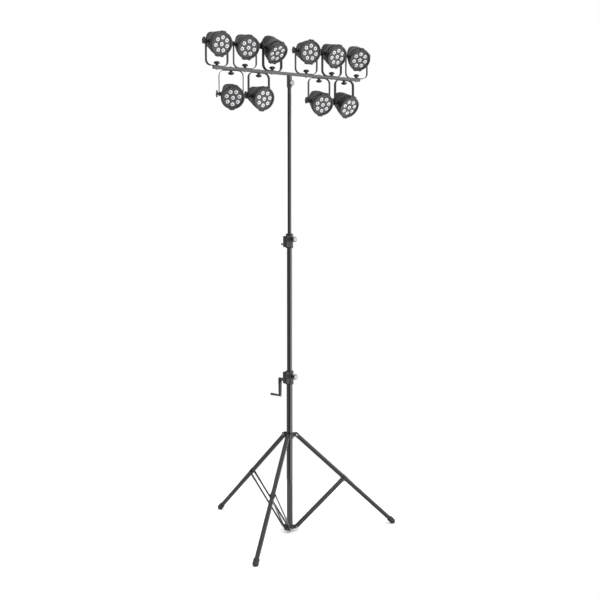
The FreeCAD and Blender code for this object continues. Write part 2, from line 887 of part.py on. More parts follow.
# A strap bent to a U, open upward, turning on the bolt through its middle.
# Its own origin is on the bar's centre line.
def yoke():
    out = d.yoke_width / 2
    strap = d.yoke_strap
    low = d.bar_section / 2 + d.yoke_gap
    top = d.pivot_rise + d.yoke_above_pivot
    bend = d.yoke_corner
    profile = [
        (out, top),
        (out - strap, top),
        (out - strap, low + bend, -(bend - strap)),
        (out - bend, low + strap),
        (-out + bend, low + strap, -(bend - strap)),
        (-out + strap, low + bend),
        (-out + strap, top),
        (-out, top),
        (-out, low + bend, bend),
        (-out + bend, low),
        (out - bend, low, bend),
        (out, low + bend),
    ]
    strap_plate = plate("yoke_strap_plate", profile, d.yoke_depth)
    put(strap_plate, (0, d.yoke_depth / 2, 0))
    bolt_way = cylinder("yoke_bolt_way", d.mount_bolt_diameter / 2 + d.running, strap + 2, (0, 0, low - 1))
    shaft_way = cylinder(
        "yoke_shaft_way",
        d.tilt_shaft_diameter / 2 + d.running,
        d.yoke_width + 2,
        (-out - 1, 0, d.pivot_rise),
        EAST,
    )
    return cut("yoke", strap_plate, bolt_way, shaft_way)


# The head's pieces, about the tilt pivot, facing -Y. They are turned about
# the beam's axis, with their height measured ahead of the pivot.
def head_pieces():
    ahead = Rotation(UP, -NORTH)
    back = d.head_back_diameter / 2
    waist = d.head_waist_diameter / 2
    front = d.bezel_diameter / 2 - d.bezel_overlap
    wall = d.head_wall
    housing = turned(
        "head_housing",
        [
            (0, -d.head_back),
            (back - 8, -d.head_back, 8),
            (back, -d.head_back + 8),
            (waist, -d.head_back * 0.4),
            (front, d.head_front * 0.5),
            (front, d.head_front),
            (front - wall, d.head_front),
            (front - wall, d.head_front * 0.5),
            (waist - wall, -d.head_back * 0.4),
            (back - wall, -d.head_back + 8, -(8 - wall)),
            (back - 8, -d.head_back + wall),
            (0, -d.head_back + wall),
        ],
    )
    put(housing, (0, 0, 0), ahead)
    bosses = []
    boss_end = d.yoke_width / 2 - d.yoke_strap - d.loose
    for side, name in ((-1, "left"), (1, "right")):
        start = front - wall * 4
        at = (start if side > 0 else -boss_end, 0, 0)
        bosses.append(cylinder(f"tilt_boss_{name}", d.tilt_boss_diameter / 2, boss_end - start, at, EAST))
    shaft_way = cylinder(
        "tilt_shaft_way", d.tilt_shaft_diameter / 2, d.yoke_width + 2, (-d.yoke_width / 2 - 1, 0, 0), EAST
    )
    shell = cut("head_shell", fuse("head_blank", housing, *bosses), shaft_way)

    rim = d.bezel_diameter / 2
    bore = d.bezel_bore / 2
    bezel = turned(
        "head_bezel",
        [
            (front, d.bezel_start),
            (rim - 2, d.bezel_start),
            (rim, d.bezel_start + 2),
            (rim, d.bezel_front - 3),
            (rim - 3, d.bezel_front),
            (bore + 3, d.bezel_front),
            (bore, d.panel_front),
            (front, d.panel_front),
        ],
    )
    put(bezel, (0, 0, 0), ahead)
    panel = cylinder(
        "head_panel", front, d.panel_thickness, (0, -(d.panel_front - d.panel_thickness), 0), -NORTH
    )
    pieces = [shell, bezel, panel, lens("lens_0", 0, 0)]
    for number in range(int(float(d.lens_count))):
        turn = 90.0 + 360.0 * number / float(d.lens_count)
        pieces.append(lens(f"lens_{number + 1}", d.lens_circle / 2 * math.cos(math.radians(turn)),
                           d.lens_circle / 2 * math.sin(math.radians(turn))))
    latch_high = rim + d.latch_rise
    latch = box(
        "head_latch",
        (-d.latch_width / 2, -d.bezel_start, front - wall),
        (d.latch_width / 2, -d.head_front * 0.5, latch_high),
    )
    pieces.append(cut("head_latch_seated", latch, cylinder("latch_seat", front, d.bezel_front, (0, 0, 0), -NORTH)))
    return pieces + tilt_knobs()


def lens(name, across, up):
    return cylinder(name, d.lens_diameter / 2, d.lens_height, (across, -d.panel_front, up), -NORTH)


# Each knob is one piece with the shaft that it turns on, through the yoke's
# arm and the housing's boss.
def tilt_knobs():
    knobs = []
    shaft = d.tilt_shaft_diameter / 2
    rim = d.tilt_knob_diameter / 2
    inner_end = d.bezel_diameter / 2 - d.bezel_overlap - d.head_wall * 4
    back = d.yoke_width / 2 + d.tilt_knob_reach - d.tilt_knob_thickness
    washer = d.yoke_width / 2 + d.loose
    profile = [
        (0, inner_end),
        (shaft, inner_end),
        (shaft, washer),
        (shaft + 5, washer),
        (shaft + 5, back),
        (rim - 2, back),
        (rim, back + 2),
        (rim, d.yoke_width / 2 + d.tilt_knob_reach - 2),
        (rim - 2, d.yoke_width / 2 + d.tilt_knob_reach),
        (0, d.yoke_width / 2 + d.tilt_knob_reach),
    ]
    for name, direction in (("left", -EAST), ("right", EAST)):
        knob = turned(f"tilt_knob_{name}", profile)
        put(knob, (0, 0, 0), Rotation(UP, direction))
        knobs.append(knob)
    return knobs


def lamps():
    strap = yoke()
    pieces = head_pieces()
    aims = STANDING_AIM + HANGING_AIM
    for number, ((along, hanging), (pan, tilt)) in enumerate(zip(lamp_spots(), aims), start=1):
        spot = Placement(Vector(float(along), 0, 0), Rotation(UP, pan))
        flip = Placement(ORIGIN, Rotation(NORTH, 180 if hanging else 0))
        place = bar_place() * spot * flip
        finish(group(f"lamp_{number}_yoke_part", strap), f"lamp_{number}_yoke", place)
        pitch = Rotation(EAST, -tilt if hanging else tilt)
        head_place = place * Placement(Vector(0, 0, float(d.pivot_rise)), pitch)
        finish(group(f"lamp_{number}_head_part", *pieces), f"lamp_{number}_head", head_place)


# ---- Tripod ----------------------------------------------------------------------

# The spread leg's angle from the vertical, from the pivot circle to the foot.
def leg_angle():
    out = float(d.foot_circle - d.pivot_circle) / 2
    down = float(d.hub_level - d.foot_level)
    return math.degrees(math.atan2(out, down))


def leg_reach():
    out = float(d.foot_circle - d.pivot_circle) / 2
    down = float(d.hub_level - d.foot_level)
    return math.hypot(out, down)


# Brace and upper leg are equal, so that the hub stays level as the legs fold.
def link_length():
    return float(d.hub_level - d.base_level) / 2 / math.cos(math.radians(leg_angle()))


# A pin across a leg or an ear, with a head at each end outside the braces.
def cross_pin(name, half_length):
    radius = d.pin_diameter / 2
    shank = cylinder(name + "_shank", radius, half_length * 2, (0, -half_length, 0), NORTH)
    near = cylinder(name + "_near", d.pin_head / 2, d.pin_head_height, (0, -half_length - d.pin_head_height, 0), NORTH)
    far = cylinder(name + "_far", d.pin_head / 2, d.pin_head_height, (0, half_length, 0), NORTH)
    return fuse(name, shank, near, far)


def sector_place(turn):
    return Placement(ORIGIN, Rotation(UP, turn))


# Three legs, built once in the XZ plane and turned to their places. A leg's
# own frame has its hub pivot at the origin and its foot straight below.
def legs():
    reach = leg_reach()
    link = link_length()
    radius = d.leg_diameter / 2
    top = d.leg_above_pivot
    foot_top = -reach + float(d.foot_length)
    outer = cylinder("leg_outer", radius, top + reach - 10, (0, 0, -reach + 10))
    hollow = cylinder("leg_hollow", radius - d.leg_wall, top + reach, (0, 0, -reach + 5))
    pin_way = d.pin_diameter / 2 + d.running
    pivot_way = cylinder("leg_pivot_way", pin_way, d.leg_diameter + 2, (0, -radius - 1, 0), NORTH)
    link_way = cylinder("leg_link_way", d.pin_diameter / 2, d.leg_diameter + 2, (0, -radius - 1, -link), NORTH)
    leg_tube = cut("leg_tube", outer, hollow, pivot_way, link_way)

    sleeve_low = -link - d.bracket_length / 2
    sleeve = tube("bracket_ring", d.leg_diameter + d.bracket_wall * 2, d.leg_diameter, sleeve_low,
                  sleeve_low + d.bracket_length)
    sleeve_way = cylinder(
        "bracket_way", d.pin_diameter / 2, d.leg_diameter * 2, (0, -d.leg_diameter, -link), NORTH
    )
    bracket = cut("bracket", sleeve, sleeve_way)
    pin = cross_pin("bracket_pin", d.brace_inside + d.brace_thickness + d.loose)
    put(pin, (0, 0, -link))

    tilted = Placement(Vector(float(d.pivot_circle) / 2, 0, float(d.hub_level)), Rotation(NORTH, -leg_angle()))
    foot_blank = fuse(
        "foot_blank",
        cylinder("foot_barrel", d.foot_diameter / 2, d.foot_length, (0, 0, -reach)),
        foot_ball(reach),
    )
    foot_way = cylinder("foot_way", radius, d.foot_length + reach, (0, 0, -reach + 10))
    foot_tilted = cut("foot_tilted", foot_blank, foot_way)
    foot_tilted.Placement = tilted
    floor_out = d.foot_circle / 2 + d.foot_diameter
    floor_block = box("floor_block", (0, -d.foot_diameter, -d.foot_diameter), (floor_out, d.foot_diameter, 0))
    foot = cut("foot_flat", foot_tilted, floor_block)

    for number, turn in enumerate(LEG_TURNS, start=1):
        place = sector_place(turn)
        finish(group(f"leg_{number}_part", leg_tube, bracket, pin), f"leg_{number}", place * tilted)
        finish(group(f"foot_{number}_part", foot), f"foot_{number}", place)


def foot_ball(reach):
    ball = doc.addObject("Part::Sphere", "foot_ball")
    bind(ball, Radius=d.foot_diameter / 2)
    put(ball, (0, 0, -reach))
    return ball


# A pair of flat bars from the base ring up to the leg's bracket.
def braces():
    link = link_length()
    half = d.brace_width / 2
    bars = []
    for name, near in (("left", -d.brace_inside - d.brace_thickness), ("right", d.brace_inside)):
        middle = box(f"brace_{name}_middle", (-half, near, 0), (half, near + d.brace_thickness, link))
        low_end = cylinder(f"brace_{name}_low", half, d.brace_thickness, (0, near, 0), NORTH)
        high_end = cylinder(f"brace_{name}_high", half, d.brace_thickness, (0, near, link), NORTH)
        low_way = cylinder(
            f"brace_{name}_low_way", d.pin_diameter / 2 + d.running, d.brace_thickness + 2, (0, near - 1, 0), NORTH
        )
        high_way = cylinder(
            f"brace_{name}_high_way", d.pin_diameter / 2 + d.running, d.brace_thickness + 2, (0, near - 1, link), NORTH
        )
        bars.append(cut(f"brace_{name}", fuse(f"brace_{name}_blank", middle, low_end, high_end), low_way, high_way))
    tilted = Placement(Vector(float(d.pivot_circle) / 2, 0, float(d.base_level)), Rotation(NORTH, leg_angle()))
    for number, turn in enumerate(LEG_TURNS, start=1):
        finish(group(f"brace_{number}_part", *bars), f"brace_{number}", sector_place(turn) * tilted)


# The ring pressed on the mast's foot, with an ear between each pair of braces.
def base():
    low = d.mast_bottom - 2
    ring = cylinder("base_ring", d.base_outer / 2, d.base_height, (0, 0, low))
    half = d.brace_inside - d.loose
    reach = d.pivot_circle / 2 + d.pin_diameter
    ear_low = d.base_level - d.base_ear_height / 2
    pin_half = d.brace_inside + d.brace_thickness + d.loose
    ears = []
    pins = []
    for number, turn in enumerate(LEG_TURNS, start=1):
        ear = box(f"base_ear_{number}_block", (0, -half, ear_low), (reach, half, ear_low + d.base_ear_height))
        way = cylinder(
            f"base_ear_{number}_way",
            d.pin_diameter / 2,
            half * 2 + 2,
            (d.pivot_circle / 2, -half - 1, d.base_level),
            NORTH,
        )
        holed = cut(f"base_ear_{number}", ear, way)
        holed.Placement = sector_place(turn)
        ears.append(holed)
        pin = cross_pin(f"base_pin_{number}", pin_half)
        pin.Placement = sector_place(turn) * Placement(
            Vector(float(d.pivot_circle) / 2, 0, float(d.base_level)), Rotation()
        )
        pins.append(pin)
    seat = cylinder("base_seat", d.lower_outer / 2, d.base_height + 2, (0, 0, d.mast_bottom))
    finish(cut("base_spider_part", fuse("base_blank", ring, *ears), seat), "base_spider")
    finish(group("base_bolts_part", *pins), "base_bolts")


# The collar that slides on the mast as the legs fold, an ear each side of
# every leg, and a boss for its knob between legs 1 and 3.
def hub():
    low = d.hub_level - d.hub_below_pivot
    ring = cylinder("hub_ring", d.hub_outer / 2, d.hub_height, (0, 0, low))
    inside = d.leg_diameter / 2 + d.loose
    reach = d.pivot_circle / 2 + d.hub_ear_width / 2
    ear_low = d.hub_level - d.hub_ear_width / 2
    ear_high = d.hub_level + d.hub_ear_width / 2
    pieces = [ring]
    pins = []
    for number, turn in enumerate(LEG_TURNS, start=1):
        for name, near in (("left", -inside - d.hub_ear_thickness), ("right", inside)):
            ear = box(
                f"hub_ear_{number}_{name}_block",
                (d.lower_outer / 2, near, ear_low),
                (reach, near + d.hub_ear_thickness, ear_high),
            )
            way = cylinder(
                f"hub_ear_{number}_{name}_way",
                d.pin_diameter / 2,
                d.hub_ear_thickness + 2,
                (d.pivot_circle / 2, near - 1, d.hub_level),
                NORTH,
            )
            holed = cut(f"hub_ear_{number}_{name}", ear, way)
            holed.Placement = sector_place(turn)
            pieces.append(holed)
        pin = cross_pin(f"hub_pin_{number}", inside + d.hub_ear_thickness)
        pin.Placement = sector_place(turn) * Placement(
            Vector(float(d.pivot_circle) / 2, 0, float(d.hub_level)), Rotation()
        )
        pins.append(pin)
    toward = polar(1, float(d.hub_knob_turn))
    boss_level = low + d.hub_boss_rise
    pieces.append(cylinder("hub_boss", d.boss_diameter / 2, d.hub_boss_reach, (0, 0, boss_level), toward))
    bore = cylinder("hub_bore", d.lower_outer / 2 + d.loose, d.hub_height * 2, (0, 0, low - d.hub_height / 2))
    screw_way = cylinder(
        "hub_screw_way", d.clamp_screw_diameter / 2 + d.running, d.hub_boss_reach + 1, (0, 0, boss_level), toward
    )
    finish(cut("leg_hub_part", fuse("hub_blank", *pieces), bore, screw_way), "leg_hub")
    finish(group("hub_bolts_part", *pins), "hub_bolts")
    clamp_knob("hub_lock_knob", d.lower_outer, d.hub_knob_face, boss_level, toward)


# ---- The whole stand ----------------------------------------------------------------

def build():
    lower = collar_sizes("lower", d.lower_outer, d.middle_outer)
    upper = collar_sizes("upper", d.middle_outer, d.upper_outer)
    lower_tube()
    middle_tube()
    upper_tube()
    foot_bushes()
    for c in (lower, upper):
        winch_collar(c)
        collar_bush(c)
        gear_cover(c)
        clamp_knob(f"{c.side}_clamp_knob", c.slider_outer, c.knob_face, c.clamp_level, -NORTH)
    winch_shaft(lower, d.crank_arm_start + d.crank_arm_thickness, d.crank_hub_start)
    winch_shaft(upper, d.shaft_stub_reach, d.box_width / 2 + d.loose)
    crank()
    bar()
    mount_knobs()
    bar_clamp_knob()
    lamps()
    legs()
    braces()
    base()
    hub()


def check_and_write():
    doc.recompute()
    for piece in doc.Objects:
        if "Invalid" in piece.State or "Error" in piece.State:
            raise RuntimeError(f"{piece.Label} did not build: {piece.State}")
    os.makedirs("parts", exist_ok=True)
    for piece in nodes:
        if piece.Shape.isNull() or not piece.Shape.isValid():
            raise RuntimeError(f"{piece.Label} has no valid shape")
    for piece in nodes:
        piece.Shape.exportStep(f"parts/{piece.Label}.step")
    print(len(nodes), "sub-parts written")


build()
check_and_write()
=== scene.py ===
import json
import math

import bmesh
import bpy
from mathutils import Matrix, Vector


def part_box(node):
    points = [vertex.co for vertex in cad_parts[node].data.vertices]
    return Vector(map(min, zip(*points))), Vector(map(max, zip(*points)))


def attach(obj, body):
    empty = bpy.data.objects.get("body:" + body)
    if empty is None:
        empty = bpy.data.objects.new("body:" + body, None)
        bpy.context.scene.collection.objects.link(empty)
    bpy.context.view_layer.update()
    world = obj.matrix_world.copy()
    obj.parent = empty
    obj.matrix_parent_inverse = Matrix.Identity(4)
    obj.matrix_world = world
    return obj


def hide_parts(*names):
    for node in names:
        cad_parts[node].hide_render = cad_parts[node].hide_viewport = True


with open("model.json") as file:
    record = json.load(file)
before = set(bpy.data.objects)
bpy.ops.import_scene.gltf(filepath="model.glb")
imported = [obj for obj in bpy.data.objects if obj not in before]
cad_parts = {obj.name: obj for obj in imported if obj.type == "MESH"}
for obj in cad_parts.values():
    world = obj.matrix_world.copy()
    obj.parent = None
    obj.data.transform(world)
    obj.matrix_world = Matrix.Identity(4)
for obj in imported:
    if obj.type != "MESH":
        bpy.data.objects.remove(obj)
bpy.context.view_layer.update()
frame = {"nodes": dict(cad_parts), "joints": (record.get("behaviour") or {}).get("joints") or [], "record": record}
nodes = frame["nodes"]
joints = {joint["name"]: joint for joint in frame["joints"]}
bodyOf = {
    node: body for body, members in frame["record"]["behaviour"]["bodies"].items() for node in members
}
slotOf = {part["node"]: part["material_slot"] for part in frame["record"]["subparts"]}
print("frame loaded:", len(nodes), "nodes")

mm = 0.001
up = Vector((0, 0, 1))


class Value:
    # One socket's value in a material, which takes +, - and * as Math nodes.
    def __init__(self, paint, socket):
        self.paint = paint
        self.socket = socket

    def math(self, operation, first, second=None):
        inputs = {0: first} if second is None else {0: first, 1: second}
        return self.paint.node("ShaderNodeMath", {"operation": operation}, inputs)

    def __add__(self, other):
        return self.math("ADD", self, other)

    def __sub__(self, other):
        return self.math("SUBTRACT", self, other)

    def __rsub__(self, other):
        return self.math("SUBTRACT", other, self)

    def __mul__(self, other):
        return self.math("MULTIPLY", self, other)

    __radd__ = __add__
    __rmul__ = __mul__


class Graph:
    # A node tree that grows one call at a time.
    def __init__(self, tree):
        self.tree = tree
        self.place = self.node("ShaderNodeTexCoord", {}, {}, "Object")

    def node(self, kind, settings, inputs, output=0):
        made = self.tree.nodes.new(kind)
        for name, value in settings.items():
            if name == "ramp":
                self.setRamp(made.color_ramp, value)
            else:
                setattr(made, name, value)
        for name, value in inputs.items():
            self.connect(made.inputs[name], value)
        return Value(self, made.outputs[output])

    def connect(self, socket, value):
        if isinstance(value, Value):
            self.tree.links.new(value.socket, socket)
        else:
            socket.default_value = value

    def setRamp(self, ramp, stops):
        while len(ramp.elements) < len(stops):
            ramp.elements.new(0.5)
        for element, (position, shade) in zip(ramp.elements, stops):
            element.position = position
            element.color = (shade, shade, shade, 1)

    def ramp(self, value, *stops):
        return self.node("ShaderNodeValToRGB", {"ramp": stops}, {"Fac": value})


class Paint(Graph):
    # A material on the object.
    def __init__(self, name):
        self.material = bpy.data.materials.new(name)
        self.material.use_nodes = True
        super().__init__(self.material.node_tree)
        self.shader = self.tree.nodes["Principled BSDF"]

    def stretched(self, across, along):
        return self.node("ShaderNodeMapping", {}, {"Vector": self.place, "Scale": (across, across, along)})

    def noise(self, scale, detail=2.0, roughness=0.5, vector=None):
        inputs = {"Vector": vector or self.place, "Scale": scale, "Detail": detail, "Roughness": roughness}
        return self.node("ShaderNodeTexNoise", {}, inputs)

    def blend(self, mask, first, second):
        settings = {"data_type": "RGBA"}
        return self.node("ShaderNodeMix", settings, {0: mask, 6: colour(first), 7: colour(second)}, 2)

    def bump(self, height, strength, distance):
        inputs = {"Height": height, "Strength": strength, "Distance": distance}
        self.connect(self.shader.inputs["Normal"], self.node("ShaderNodeBump", {}, inputs))

    def set(self, **values):
        for name, value in values.items():
            self.connect(self.shader.inputs[name.replace("_", " ")], value)


def colour(value):
    if isinstance(value, Value) or len(value) == 4:
        return value
    return (*value, 1.0)


# Powder coat: a fine orange peel, cloudy gloss, dust and hairline rubbing.
def powderCoat(name, look):
    paint = Paint(name)
    peel = paint.noise(look["peelScale"], 3.0, 0.55)
    cloud = paint.noise(9.0, 4.0, 0.6)
    lines = paint.noise(60.0, 4.0, 0.7, paint.stretched(*look["rub"]))
    rubbed = paint.ramp(lines, (look["rubStart"], 0.0), (look["rubStart"] + 0.1, 1.0))
    dust = paint.ramp(paint.noise(35.0, 6.0, 0.65), (0.45, 0.0), (0.8, 1.0))
    base = paint.blend(dust * look["dust"], look["colour"], look["dustColour"])
    shade = paint.blend(rubbed * look["rubAmount"], base, look["rubColour"])
    paint.set(Base_Color=shade, Coat_Roughness=0.12, Specular_IOR_Level=look["shine"])
    paint.set(Roughness=look["roughness"] + cloud * look["cloud"] + rubbed * 0.08 + dust * 0.1)
    paint.set(Coat_Weight=look["coat"])
    paint.bump(peel * 0.8 + rubbed * 0.2, look["peel"], 0.0004)
    return paint.material


coatLook = {
    "colour": (0.006, 0.006, 0.0065),
    "dustColour": (0.09, 0.088, 0.085),
    "rubColour": (0.04, 0.04, 0.042),
    "roughness": 0.24,
    "cloud": 0.08,
    "coat": 0.2,
    "shine": 0.4,
    "peel": 0.12,
    "peelScale": 900.0,
    "dust": 0.03,
    "rub": (1.0, 0.04),
    "rubStart": 0.6,
    "rubAmount": 0.25,
}


def coat(name, **changes):
    return powderCoat(name, {**coatLook, **changes})


# Moulded plastic: fine grain, with a paler bloom where hands hold it.
def mouldedPlastic(name, shade, bloom, roughness):
    paint = Paint(name)
    grain = paint.noise(1600.0, 2.0, 0.6)
    worn = paint.ramp(paint.noise(45.0, 4.0, 0.6), (0.5, 0.0), (0.75, 1.0))
    paint.set(
        Base_Color=paint.blend(worn * 0.35, shade, bloom), Roughness=roughness + grain * 0.12 + worn * -0.08
    )
    paint.bump(grain, 0.25, 0.0003)
    return paint.material


# Moulded rubber: matt, with a chalky bloom and scuffs.
def footRubber():
    paint = Paint("footRubber")
    grain = paint.noise(700.0, 4.0, 0.7)
    chalk = paint.ramp(paint.noise(60.0, 5.0, 0.7), (0.42, 0.0), (0.75, 1.0))
    paint.set(Base_Color=paint.blend(chalk * 0.4, (0.012, 0.012, 0.012), (0.05, 0.048, 0.046)))
    paint.set(Roughness=0.62 + chalk * 0.2)
    paint.bump(grain, 0.4, 0.0006)
    return paint.material


# Turned and zinc-plated steel: fine lines round the axis and cloudy plating.
def zincSteel():
    paint = Paint("zincSteel")
    lines = paint.noise(400.0, 3.0, 0.7, paint.stretched(1.0, 0.1))
    cloud = paint.noise(120.0, 3.0, 0.5)
    paint.set(Base_Color=paint.blend(cloud, (0.25, 0.25, 0.26), (0.42, 0.415, 0.4)), Metallic=1.0)
    paint.set(Roughness=0.28 + lines * 0.18)
    paint.bump(lines, 0.15, 0.0002)
    return paint.material


# Oiled black rack steel: dark, part metal, with bright rubbed tooth tips.
def rackSteel():
    paint = Paint("rackSteel")
    oil = paint.noise(80.0, 4.0, 0.6)
    paint.set(Base_Color=paint.blend(oil, (0.02, 0.02, 0.02), (0.06, 0.058, 0.055)), Metallic=0.6)
    paint.set(Roughness=0.3 + oil * 0.25)
    paint.bump(paint.noise(900.0, 2.0, 0.6), 0.15, 0.0003)
    return paint.material


# A lens's bright ring: clear moulded plastic over a white reflector, with
# faint facets.
def lensWhite():
    paint = Paint("lensWhite")
    facets = paint.node("ShaderNodeTexVoronoi", {}, {"Vector": paint.place, "Scale": 420.0})
    milk = paint.noise(150.0, 2.0, 0.5)
    shade = paint.blend(facets * 1.4, (0.74, 0.74, 0.75), (0.46, 0.47, 0.49))
    paint.set(Base_Color=paint.blend(milk * 0.4, shade, (0.85, 0.85, 0.87)), Roughness=0.2 + milk * 0.1)
    paint.set(Coat_Weight=0.6, Coat_Roughness=0.05)
    paint.bump(facets, 0.25, 0.0006)
    return paint.material


# The shaded skirt of a lens, between the bright ring and the face.
def lensSkirt():
    paint = Paint("lensSkirt")
    milk = paint.noise(300.0, 2.0, 0.5)
    paint.set(
        Base_Color=paint.blend(milk, (0.16, 0.16, 0.17), (0.3, 0.3, 0.31)), Roughness=0.25 + milk * 0.1
    )
    paint.set(Coat_Weight=0.5, Coat_Roughness=0.05)
    return paint.material


def lensCore():
    paint = Paint("lensCore")
    mottle = paint.noise(600.0, 2.0, 0.5)
    paint.set(
        Base_Color=paint.blend(mottle, (0.05, 0.05, 0.055), (0.16, 0.16, 0.17)),
        Roughness=0.15 + mottle * 0.1
    )
    paint.set(Coat_Weight=0.9, Coat_Roughness=0.03)
    return paint.material


# Near-black: the rear display's own dark glass, and painted shade on the vents' floors and walls, the socket wells
# and the latch's pockets.
def darkGlassAndShade():
    paint = Paint("darkGlassAndShade")
    speckle = paint.noise(300.0, 2.0, 0.5)
    paint.set(
        Base_Color=paint.blend(speckle, (0.003, 0.003, 0.003), (0.008, 0.008, 0.008)),
        Roughness=0.8 + speckle * 0.1
    )
    return paint.material


finishes = {
    "tube_black": coat("tubeCoat", roughness=0.1, cloud=0.05, coat=0.4, peel=0.05, shine=0.5),
    "bar_black": coat("barCoat", colour=(0.06, 0.06, 0.062), roughness=0.3, rub=(0.04, 1.0)),
    "brace_black": coat("braceCoat", colour=(0.008, 0.008, 0.009), roughness=0.3, rubAmount=0.4),
    "rack_steel": rackSteel(),
    "cast_black": coat(
        "castCoat", colour=(0.01, 0.01, 0.011), roughness=0.4, coat=0.1, peel=0.5, peelScale=1400.0,
        rub=(1.0, 1.0), rubStart=0.66
    ),
    "zinc_steel": zincSteel(),
    "crank_black": coat("crankCoat", roughness=0.22, coat=0.3),
    "knob_plastic": mouldedPlastic("knobPlastic", (0.006, 0.006, 0.0065), (0.03, 0.03, 0.032), 0.4),
    "bush_plastic": mouldedPlastic("bushNylon", (0.02, 0.02, 0.02), (0.06, 0.06, 0.06), 0.35),
    "foot_rubber": footRubber(),
    "yoke_black": coat("yokeCoat", colour=(0.014, 0.014, 0.015), roughness=0.32, coat=0.1, rubAmount=0.35),
    "head_black": coat(
        "headCoat", colour=(0.015, 0.015, 0.016), roughness=0.4, coat=0.1, shine=0.35, peel=0.35,
        peelScale=1200.0
    ),
}
facePaint = coat(
    "facePaint", colour=(0.03, 0.03, 0.032), roughness=0.36, coat=0.1, rub=(1.0, 1.0), rubStart=0.7
)
legPaint = coat(
    "legCoat", colour=(0.01, 0.01, 0.011), roughness=0.26, cloud=0.05, coat=0.08, peel=0.05, shine=0.3
)
paleCap = mouldedPlastic("paleCap", (0.3, 0.3, 0.31), (0.4, 0.4, 0.4), 0.35)
lensLook = [lensWhite(), lensCore(), lensSkirt(), finishes["head_black"]]
ventLook = [finishes["head_black"], darkGlassAndShade()]
print("materials made")

for name, node in nodes.items():
    node.data.materials.clear()
    node.data.materials.append(legPaint if name.startswith("leg_") else finishes[slotOf[name]])


# A closed shape turned about Z from (radius, height) points, in millimetres.
def lathe(points, steps=64):
    mesh = bmesh.new()
    corners = [mesh.verts.new((radius * mm, 0, height * mm)) for radius, height in points]
    edges = [mesh.edges.new(pair) for pair in zip(corners, corners[1:])]
    if points[0][0] > 0:
        edges.append(mesh.edges.new((corners[-1], corners[0])))
    bmesh.ops.spin(
        mesh, geom=corners + edges, cent=(0, 0, 0), axis=(0, 0, 1), angle=2 * math.pi, steps=steps,
        use_merge=True
    )
    tidy(mesh)
    return mesh


def tidy(mesh):
    bmesh.ops.remove_doubles(mesh, verts=mesh.verts, dist=1e-6)
    bmesh.ops.recalc_face_normals(mesh, faces=mesh.faces)


def block(low, high, bevel=0.0, segments=2):
    mesh = bmesh.new()
    size = [(b - a) * mm for a, b in zip(low, high)]
    middle = [(a + b) * mm / 2 for a, b in zip(low, high)]
    bmesh.ops.create_cube(mesh, size=1.0, matrix=Matrix.LocRotScale(Vector(middle), None, Vector(size)))
    if bevel:
        bevelEdges(mesh, mesh.edges, bevel, segments)
    return mesh


def bevelEdges(mesh, edges, width, segments=2):
    bmesh.ops.bevel(mesh, geom=list(edges), offset=width * mm, offset_type="OFFSET", segments=segments,
                    profile=0.5, affect="EDGES", material=-1, clamp_overlap=True)


# A disc about Z with a scalloped rim, for fingers.
def scalloped(radius, low, high, lobes, depth, bevel):
    mesh = bmesh.new()
    around = lobes * 8
    bmesh.ops.create_circle(mesh, cap_ends=True, segments=around, radius=radius * mm)
    for vert in mesh.verts:
        angle = math.atan2(vert.co.y, vert.co.x)
        dip = depth * mm * (0.5 - 0.5 * math.cos(lobes * angle)) ** 2
        vert.co.xy *= 1 - dip / (radius * mm)
        vert.co.z = low * mm
    raised = bmesh.ops.extrude_face_region(mesh, geom=list(mesh.faces))
    verts = [item for item in raised["geom"] if isinstance(item, bmesh.types.BMVert)]
    bmesh.ops.translate(mesh, verts=verts, vec=(0, 0, (high - low) * mm))
    bmesh.ops.recalc_face_normals(mesh, faces=mesh.faces)
    rims = [edge for edge in mesh.edges if abs(edge.verts[0].co.z - edge.verts[1].co.z) < 1e-7]
    bevelEdges(mesh, rims, bevel, 3)
    return mesh


def joined(*parts):
    whole = bmesh.new()
    for part in parts:
        data = bpy.data.meshes.new("part")
        part.to_mesh(data)
        part.free()
        whole.from_mesh(data)
        bpy.data.meshes.remove(data)
    return whole


def moved(mesh, matrix):
    bmesh.ops.transform(mesh, matrix=matrix, verts=mesh.verts)
    return mesh


def shapeData(name, mesh, materials):
    sharp = math.radians(36)
    for face in mesh.faces:
        face.smooth = True
    for edge in mesh.edges:
        edge.smooth = edge.calc_face_angle(0.0) < sharp
    data = bpy.data.meshes.new(name)
    mesh.to_mesh(data)
    mesh.free()
    for material in materials:
        data.materials.append(material)
    return data


# An object at the origin whose place is in its mesh, riding on a CAD body.
def piece(name, data, matrix, body, bevel=0.0, replaces=()):
    data = data.copy()
    data.name = name
    data.transform(matrix)
    made = bpy.data.objects.new(name, data)
    bpy.context.scene.collection.objects.link(made)
    if bevel:
        soften = made.modifiers.new("soften", "BEVEL")
        soften.width = bevel * mm
        soften.segments = 2
        soften.limit_method = "ANGLE"
        soften.angle_limit = math.radians(38)
        soften.harden_normals = True
    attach(made, body)
    if replaces:
        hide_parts(*replaces)
    return made


# A CAD node's own shape with its sharp edges eased, after the edges that
# the test picks are rounded more.
def eased(node, bevel, corner=0.0, picks=None, slot=None):
    mesh = bmesh.new()
    mesh.from_mesh(nodes[node].data)
    bmesh.ops.remove_doubles(mesh, verts=mesh.verts, dist=2e-6)
    bmesh.ops.dissolve_limit(mesh, angle_limit=math.radians(1), verts=mesh.verts, edges=mesh.edges)
    if corner:
        bevelEdges(mesh, [edge for edge in mesh.edges if picks(edge)], corner, 5)
    slot = slot or slotOf[node]
    data = shapeData(node + "_eased", mesh, [finishes[slot]])
    return piece(node + "_eased", data, Matrix(), bodyOf[node], bevel, [node])


# The frame whose Z runs along an axis, through a point.
def alongAxis(point, axis):
    turn = up.rotation_difference(Vector(axis)).to_matrix().to_4x4()
    return Matrix.Translation(Vector(point)) @ turn


# How far a node reaches along an axis, measured from a point, in millimetres.
def reachAlong(node, point, axis):
    spots = [(vert.co - Vector(point)).dot(Vector(axis)) for vert in nodes[node].data.vertices]
    return min(spots) / mm, max(spots) / mm


